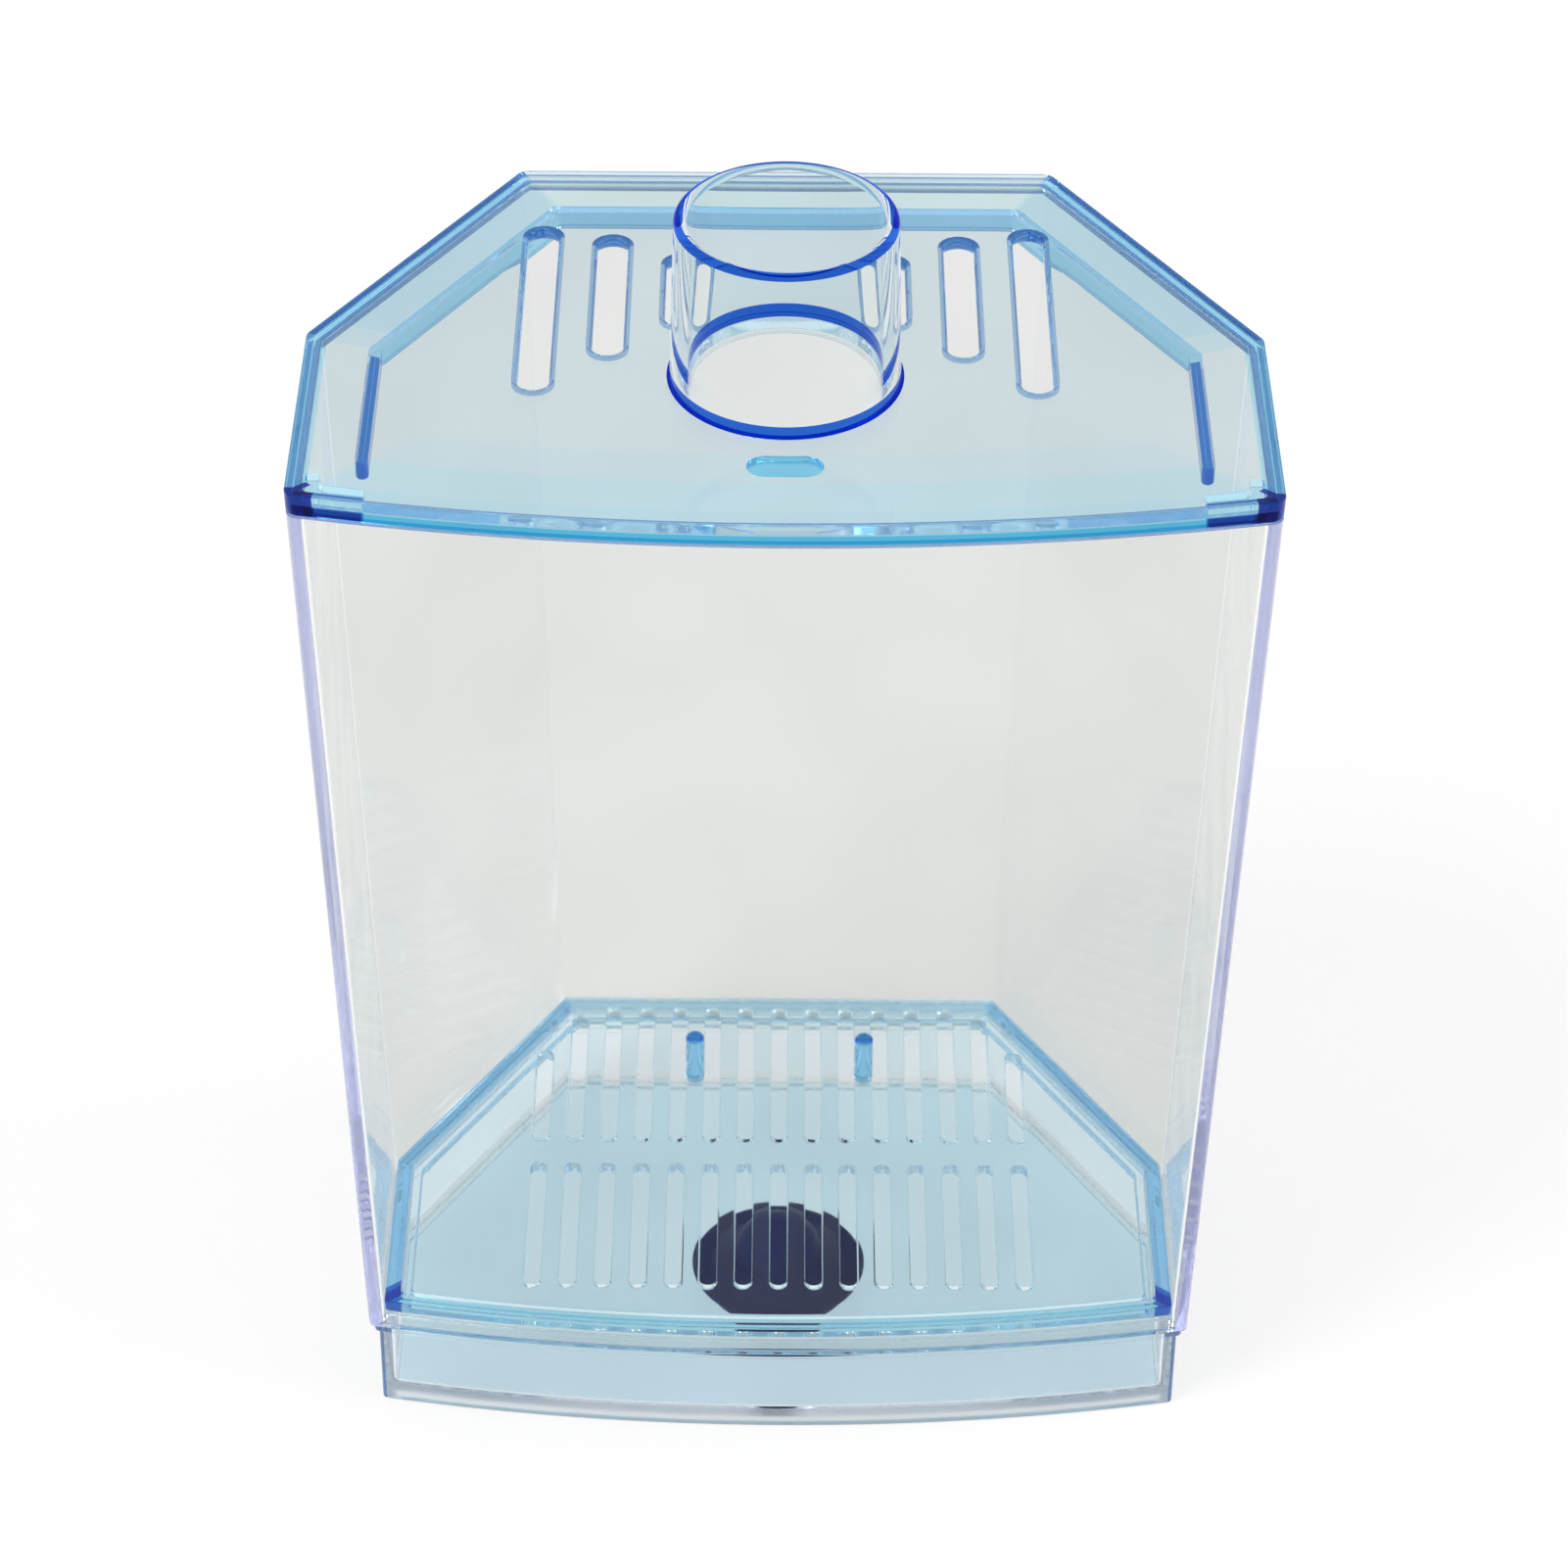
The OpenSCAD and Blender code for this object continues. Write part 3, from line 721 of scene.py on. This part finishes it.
def lidCutters(under, top, steps=6):
    # the vents in pairs, and the thumb dimple as a bowl whose side is a quarter ellipse
    cutters = []
    width, edge, deep = lid["ventWidth"], lid["ventEdge"], lid["dimpleDepth"]
    for x, y, length in lid["vents"]:
        for side in (-1, 1):
            cutters.append(longHole("vent", (side * x, y), width, length, under, top, edge))
    t = np.linspace(0, math.pi / 2, steps + 1)
    grow = np.append(-deep * lid["dimpleSlope"] * (1 - np.sin(t)), lid["dimpleFlare"])
    z = np.append(top - deep * np.cos(t), top + lid["dimpleRise"])
    centre = (0, plan["cornerY"] + lid["dimpleY"])
    dimple = stadiumRings(centre, lid["dimpleWidth"], lid["dimpleLength"], grow, z, True)
    return cutters + [ringMesh("dimple", dimple, closed=False)]


def makeLid():
    # lap and panel are one section carried round the plan, and the last rings are the collar hole's
    top, under = lidBox[1][2], tankBox[1][2]
    lap, wall = under - lid["lap"], lid["lapWall"]
    band, flat = lid["ribInset"] + lid["ribWall"], lid["panelStart"]
    line = roundedLine([
        (flat, top, 0), (band, top, 0), (lid["cornerPatch"], top, 0), (lid["topLine"], top, 0),
        (0, top, lid["edge"]), (0, lap + lid["lowLine"], 0), (0, lap, lid["lapEdge"]),
        (wall, lap, lid["lapEdge"]), (wall, under, lid["lapCove"]), (band, under, 0), (flat, under, 0)])
    rings = planRings(line, plan["lean"])
    radius, far = collarHole["radius"] + air, collarHole["radius"] + air + lid["holeBand"]
    hole = roundedLine([
        (far, under, 0), (radius, under, lid["holeEdge"]), (radius, top, lid["holeEdge"]), (far, top, 0)])
    rings = np.concatenate([rings, roundRings(hole, (0, collarHole["y"]), rings[0])])
    obj = ringMesh("lidPanel", rings)
    combine(obj, lidRibs(under), "UNION")
    combine(obj, lidCutters(under, top), "DIFFERENCE")
    finishPiece(obj, "lid", "lid_plastic", lidBlue, "lid")
    paintLightShadeAndFrost(obj, lidLook, *lidPlaces(obj, top, under, lap))


def ventFaces(spots):
    # the faces round the vents, and those round their rear ends
    around = np.zeros(len(spots), bool)
    rear = around.copy()
    reach = lid["ventWidth"] / 2 + lid["ventEdge"] + touch
    for x, y, length in lid["vents"]:
        past = spots[:, 1] - y
        end = (length - lid["ventWidth"]) / 2
        here = np.hypot(np.abs(spots[:, 0]) - x, np.maximum(np.abs(past) - end, 0)) < reach
        around |= here
        rear |= here & (past > end + near)
    return around, rear


def lidPlaces(obj, top, under, lap):
    # the faces that take each tint of painted light and shade, later ones over earlier: panel, band, rim,
    # holes, dimple, rib and corners
    spots = faceVectors(obj, "center") / mm
    x, y, z = np.abs(spots[:, 0]), spots[:, 1], spots[:, 2]
    inset, side = insetAt(spots)
    bow, rear, bevel = side == "bow", side == "rear", side == "bevel"
    flat = np.abs(faceVectors(obj, "normal")[:, 2]) > flatLevel
    ribEnd = lid["ribInset"] + lid["ribWall"]
    rim = inset < lid["cornerPatch"]
    rimLow = rim & (z < lap + lid["lowLine"])
    rimTop = (inset < lid["topLine"]) & (z > top - lid["edge"])
    panel = rim | (z > under - touch) & flat & bow
    band = (inset < ribEnd) & (y > plan["sideY"]) & (z > under - touch)
    hole = np.hypot(x, y - collarHole["y"]) < collarHole["radius"] + lid["holeEdge"] + near
    dimpleY = plan["cornerY"] + lid["dimpleY"]
    away = np.hypot(x / lid["dimpleLength"], (y - dimpleY) / lid["dimpleWidth"])
    dimple = (away < lid["dimpleReach"]) & (z > under + near) & (z < top - touch)
    vent, ventRear = ventFaces(spots)
    rib = (z < under - touch) & (inset > lid["ribInset"] - near)
    lug = (z < under - touch) & (inset > lid["lugInset"] - near) & ~rib
    front = y < plan["cornerY"] + lid["cornerPatch"]
    places = {
        "panelNext": panel & (inset < lid["panelStart"]), "panelNear": panel & (inset < ribEnd),
        "band": band, "bandRear": band & rear, "rim": rim, "front": rim & bow, "frontLow": rimLow & front,
        "bevel": rim & bevel, "bevelTop": rimTop & bevel, "rear": rim & rear, "hole": hole, "dimple": dimple,
        "vent": vent & ~flat, "ventRear": ventRear & ~flat,
        "rib": rib, "ribRearShade": rib & rear, "ribSide": rib & (side == "side"), "lug": lug,
        "cornerLow": rimLow & front & (x > plan["halfWidth"] - lid["lugLength"]),
        "corner": rim & front & (x > plan["halfWidth"] - lid["cornerPatch"]),
    }
    return [(faces, lidTints[name]) for name, faces in places.items()]


makeLid()


collar = {"bore": 15.2, "foot": 17.9, "top": 17.2, "spigot": 17.0, "lip": 0.95, "sides": 128,
          "lipRing": 0.95, "lipIn": 0.9, "footRing": 2.0,
          "cove": 0.5, "coveEdge": 0.4, "skirt": 0.1, "skirtEdge": 0.04, "seatCove": 0.1, "spigotEdge": 0.3}
collarLook = {**surface, "colour": (0.93, 0.97, 0.98), "upright": (0.96, 0.985, 0.985),
              "edge": (0.93, 0.97, 0.98), "depth": 2, "depthColour": (0.03, 0.5, 0.98), "ior": 1.12}
# painted shade: the lip's and the foot's rings are painted dark blue, standing in for the dark lines that
# inner reflection draws round the clear collar
collarTints = {"ring": oneTint((0.001, 0.025, 0.58))}
collarBlue = clearPlastic("collarBlue", collarLook)


def makeCollar():
    # lip, tapered wall, cove, thin skirt and spigot are one section carried round a circle
    low, high, seat = tankBox[1][2], collarBox[1][2], lidBox[1][2] + air
    middle, lipLow, footTop = (low + high) / 2, high - collar["lipRing"], seat + collar["footRing"]
    bore, out, foot, spigot = collar["bore"], collar["top"], collar["foot"], collar["spigot"]
    cove, skirt = foot + collar["cove"], seat + collar["skirt"]
    line = roundedLine([
        (bore, middle, 0), (bore, lipLow, 0), (bore, high, collar["lip"]), (out, high, collar["lip"]),
        (out, lipLow, 0), (foot, footTop, 0), (foot, skirt, collar["coveEdge"]),
        (cove, skirt, collar["skirtEdge"]), (cove, seat, collar["skirtEdge"]),
        (spigot, seat, collar["seatCove"]), (spigot, low, collar["spigotEdge"]),
        (bore, low, collar["spigotEdge"]), (bore, footTop, 0), (bore, middle, 0)])
    obj = ringMesh("collar", roundRings(line[:-1], (0, collarHole["y"]), sides=collar["sides"]))
    finishPiece(obj, "lid", "collar_plastic", collarBlue, "feeding_collar")
    spots = faceVectors(obj, "center") / mm
    radius, z = np.hypot(spots[:, 0], spots[:, 1] - collarHole["y"]), spots[:, 2]
    # the lip's top and the foot's band take the painted shade
    lipRing = (z > lipLow) & (radius > bore + collar["lipIn"])
    footRing = (z > seat) & (z < footTop) & (radius > out - near)
    paintLightShadeAndFrost(obj, collarLook, (lipRing | footRing, collarTints["ring"]))


makeCollar()


plug = {"stem": 6.92, "stemLift": 0.5, "stemEdge": 0.5, "dome": 7.8, "domeStart": 0.1, "domeSteps": 16,
        "neck": 4.8, "neckCove": 0.5, "brim": 15.2, "brimUp": 1.6, "brimThick": 1.0, "brimEdge": 0.45,
        "brimCove": 0.5, "flare": 12.0, "flareCove": 1.5, "seatCove": 0.1, "pole": 0.05, "sides": 72,
        "washer": 12.8, "washerStart": 3.0, "washerTop": 0.5, "washerLow": 0.3}
plugLook = {**surface, "colour": (0.001, 0.024, 0.19), "tintLow": 0.7, "roughLow": 0.38, "roughHigh": 0.55,
            "shine": 0.15}
plugRubber = rubber("plugRubber", plugLook)


def makePlug(centre, seat):
    # stem, brim and flared neck are one section, and a quarter ellipse closes the dome over them
    low, high = plugBox[0][2] + plug["stemLift"], plugBox[1][2]
    neck, brim = seat + plug["neck"], seat + plug["brimUp"]
    brimTop = brim + plug["brimThick"]
    t = np.linspace(plug["domeStart"], math.pi / 2, plug["domeSteps"])
    dome = np.column_stack([plug["dome"] * np.cos(t), neck + (high - neck) * np.sin(t)])
    stem = roundedLine([
        (plug["pole"], low, 0), (plug["stem"], low, plug["stemEdge"]),
        (plug["stem"], seat + air, plug["seatCove"]), (plug["dome"], seat + air, plug["seatCove"]),
        (plug["dome"], brim, plug["brimCove"]), (plug["brim"], brim, plug["brimEdge"]),
        (plug["brim"], brimTop, plug["brimEdge"]), (plug["flare"], brimTop, plug["flareCove"]),
        (plug["dome"], neck, plug["neckCove"]), (*dome[0], 0)])
    line = np.concatenate([stem[:-1], dome])
    line[-1, 0] = plug["pole"]
    obj = ringMesh("drainDome", roundRings(line, centre, sides=plug["sides"]), closed=False)
    finishPiece(obj, "plug", "plug_rubber", plugRubber, "drain_plug")


def makeWasher(centre, seat):
    # a flat ring under the dome, with its upper edge the rounder
    under, start, bore = washerBox[0][2] + air, plug["stem"] + plug["washerStart"], plug["stem"] + air
    line = roundedLine([
        (start, seat, 0), (plug["washer"], seat, plug["washerTop"]),
        (plug["washer"], under, plug["washerLow"]), (bore, under, plug["seatCove"]),
        (bore, seat, plug["seatCove"]), (start, seat, 0)])
    obj = ringMesh("drainWasher", roundRings(line[:-1], centre, sides=plug["sides"]))
    finishPiece(obj, "plug", "plug_rubber", plugRubber, "plug_washer")


makePlug((0, base["drainY"]), washerBox[1][2])
makeWasher((0, base["drainY"]), washerBox[1][2])
print("pieces ready")


# place is in millimetres and lens and sensor are the camera's own; down, turn and roll are in degrees
camera = {"place": (-1.8, -649.4, 603.7), "down": 37.5, "turn": 0.19, "roll": 0.49, "lens": 112.4,
          "sensor": 36, "farClip": 20}


def makeCamera():
    # turned about the upright, then tipped down, then rolled about its own line of sight
    data = bpy.data.cameras.new("camera")
    data.sensor_width = camera["sensor"]
    data.lens = camera["lens"]
    data.clip_end = camera["farClip"]
    obj = bpy.data.objects.new("camera", data)
    bpy.context.scene.collection.objects.link(obj)
    turn = Matrix.Rotation(-math.radians(camera["turn"]), 3, "Z")
    tilt = Matrix.Rotation(math.radians(90 - camera["down"]), 3, "X")
    roll = Matrix.Rotation(math.radians(camera["roll"]), 3, "Z")
    obj.rotation_euler = (turn @ tilt @ roll).to_euler()
    obj.location = [c * mm for c in camera["place"]]
    bpy.context.scene.camera = obj


makeCamera()


# glow and sky are strengths of light; horizon and zenith are what plastic mirrors low down and overhead
studio = {"floor": 0.36, "floorGlow": 0.70, "floorHalf": 6.0, "floorDrop": 0.0002, "floorRough": 0.9,
          "sky": 0.62, "horizon": 1.0, "zenith": 0.85, "skySpan": (0.05, 0.7),
          "bounces": 96, "softBounces": 2, "aim": (0, 0, 0.1)}
lamps = {"key": {"place": (-0.7, -0.5, 1.3), "size": 0.7, "power": 9.0},
         "side": {"place": (1.0, -0.1, 0.9), "size": 0.8, "power": 5.0}}


def makeFloor():
    # a plain square just below the box
    mesh = bpy.data.meshes.new("floor")
    s = studio["floorHalf"]
    mesh.from_pydata([(-s, -s, 0), (s, -s, 0), (s, s, 0), (-s, s, 0)], [], [(0, 1, 2, 3)])
    obj = bpy.data.objects.new("floor", mesh)
    obj.location.z = -studio["floorDrop"]
    bpy.context.scene.collection.objects.link(obj)
    material, tree, shader, _ = startMaterial("floorWhite")
    shader.inputs["Base Color"].default_value = (studio["floor"],) * 3 + (1,)
    shader.inputs["Roughness"].default_value = studio["floorRough"]
    shader.inputs["Specular IOR Level"].default_value = 0.0
    shader.inputs["Emission Color"].default_value = (1, 1, 1, 1)
    tree.links.new(seenDirectly(tree, studio["floorGlow"]), shader.inputs["Emission Strength"])
    obj.data.materials.append(material)


def seenDirectly(tree, amount):
    # the amount where the eye, a mirror or clear plastic looks, and nothing where light only spreads
    path = newNode(tree, "ShaderNodeLightPath")
    total = path.outputs["Is Camera Ray"]
    for key in ("Is Glossy Ray", "Is Transmission Ray"):
        total = mathNode(tree, "MAXIMUM", total, path.outputs[key])
    scale = newNode(tree, "ShaderNodeMath", operation="MULTIPLY")
    tree.links.new(total, scale.inputs[0])
    scale.inputs[1].default_value = amount
    return scale.outputs[0]


def makeSky():
    # an even glow for the light that spreads; what shines in the plastic is brighter low down than overhead
    world = bpy.data.worlds.new("studio")
    bpy.context.scene.world = world
    world.use_nodes = True
    tree = world.node_tree
    tree.nodes.clear()
    out = newNode(tree, "ShaderNodeOutputWorld")
    back = newNode(tree, "ShaderNodeBackground")
    parts = newNode(tree, "ShaderNodeSeparateXYZ")
    tree.links.new(newNode(tree, "ShaderNodeTexCoord").outputs["Object"], parts.inputs[0])
    fade = mapRange(tree, parts.outputs["Z"], studio["skySpan"], studio["horizon"], studio["zenith"])
    seen = newNode(tree, "ShaderNodeMix")
    tree.links.new(seenDirectly(tree, 1.0), seen.inputs["Factor"])
    seen.inputs["A"].default_value = studio["sky"]
    tree.links.new(fade, seen.inputs["B"])
    tree.links.new(seen.outputs["Result"], back.inputs["Strength"])
    tree.links.new(back.outputs["Background"], out.inputs["Surface"])


def makeLamp(name, place, size, power):
    # a round soft lamp turned towards the studio's aim
    data = bpy.data.lights.new(name, "AREA")
    data.shape = "DISK"
    data.size = size
    data.energy = power
    obj = bpy.data.objects.new(name, data)
    bpy.context.scene.collection.objects.link(obj)
    obj.location = place
    away = np.array(place) - np.array(studio["aim"])
    flat = math.hypot(away[0], away[1])
    obj.rotation_euler = (math.atan2(flat, away[2]), 0, math.atan2(away[0], -away[1]))


makeFloor()
makeSky()
for lampName, lamp in lamps.items():
    makeLamp(lampName, **lamp)

bpy.context.scene.view_settings.view_transform = "Standard"
cycles = bpy.context.scene.cycles
cycles.max_bounces = studio["bounces"]
cycles.transmission_bounces = studio["bounces"]
cycles.glossy_bounces = studio["bounces"]
cycles.diffuse_bounces = studio["softBounces"]
print("studio ready")
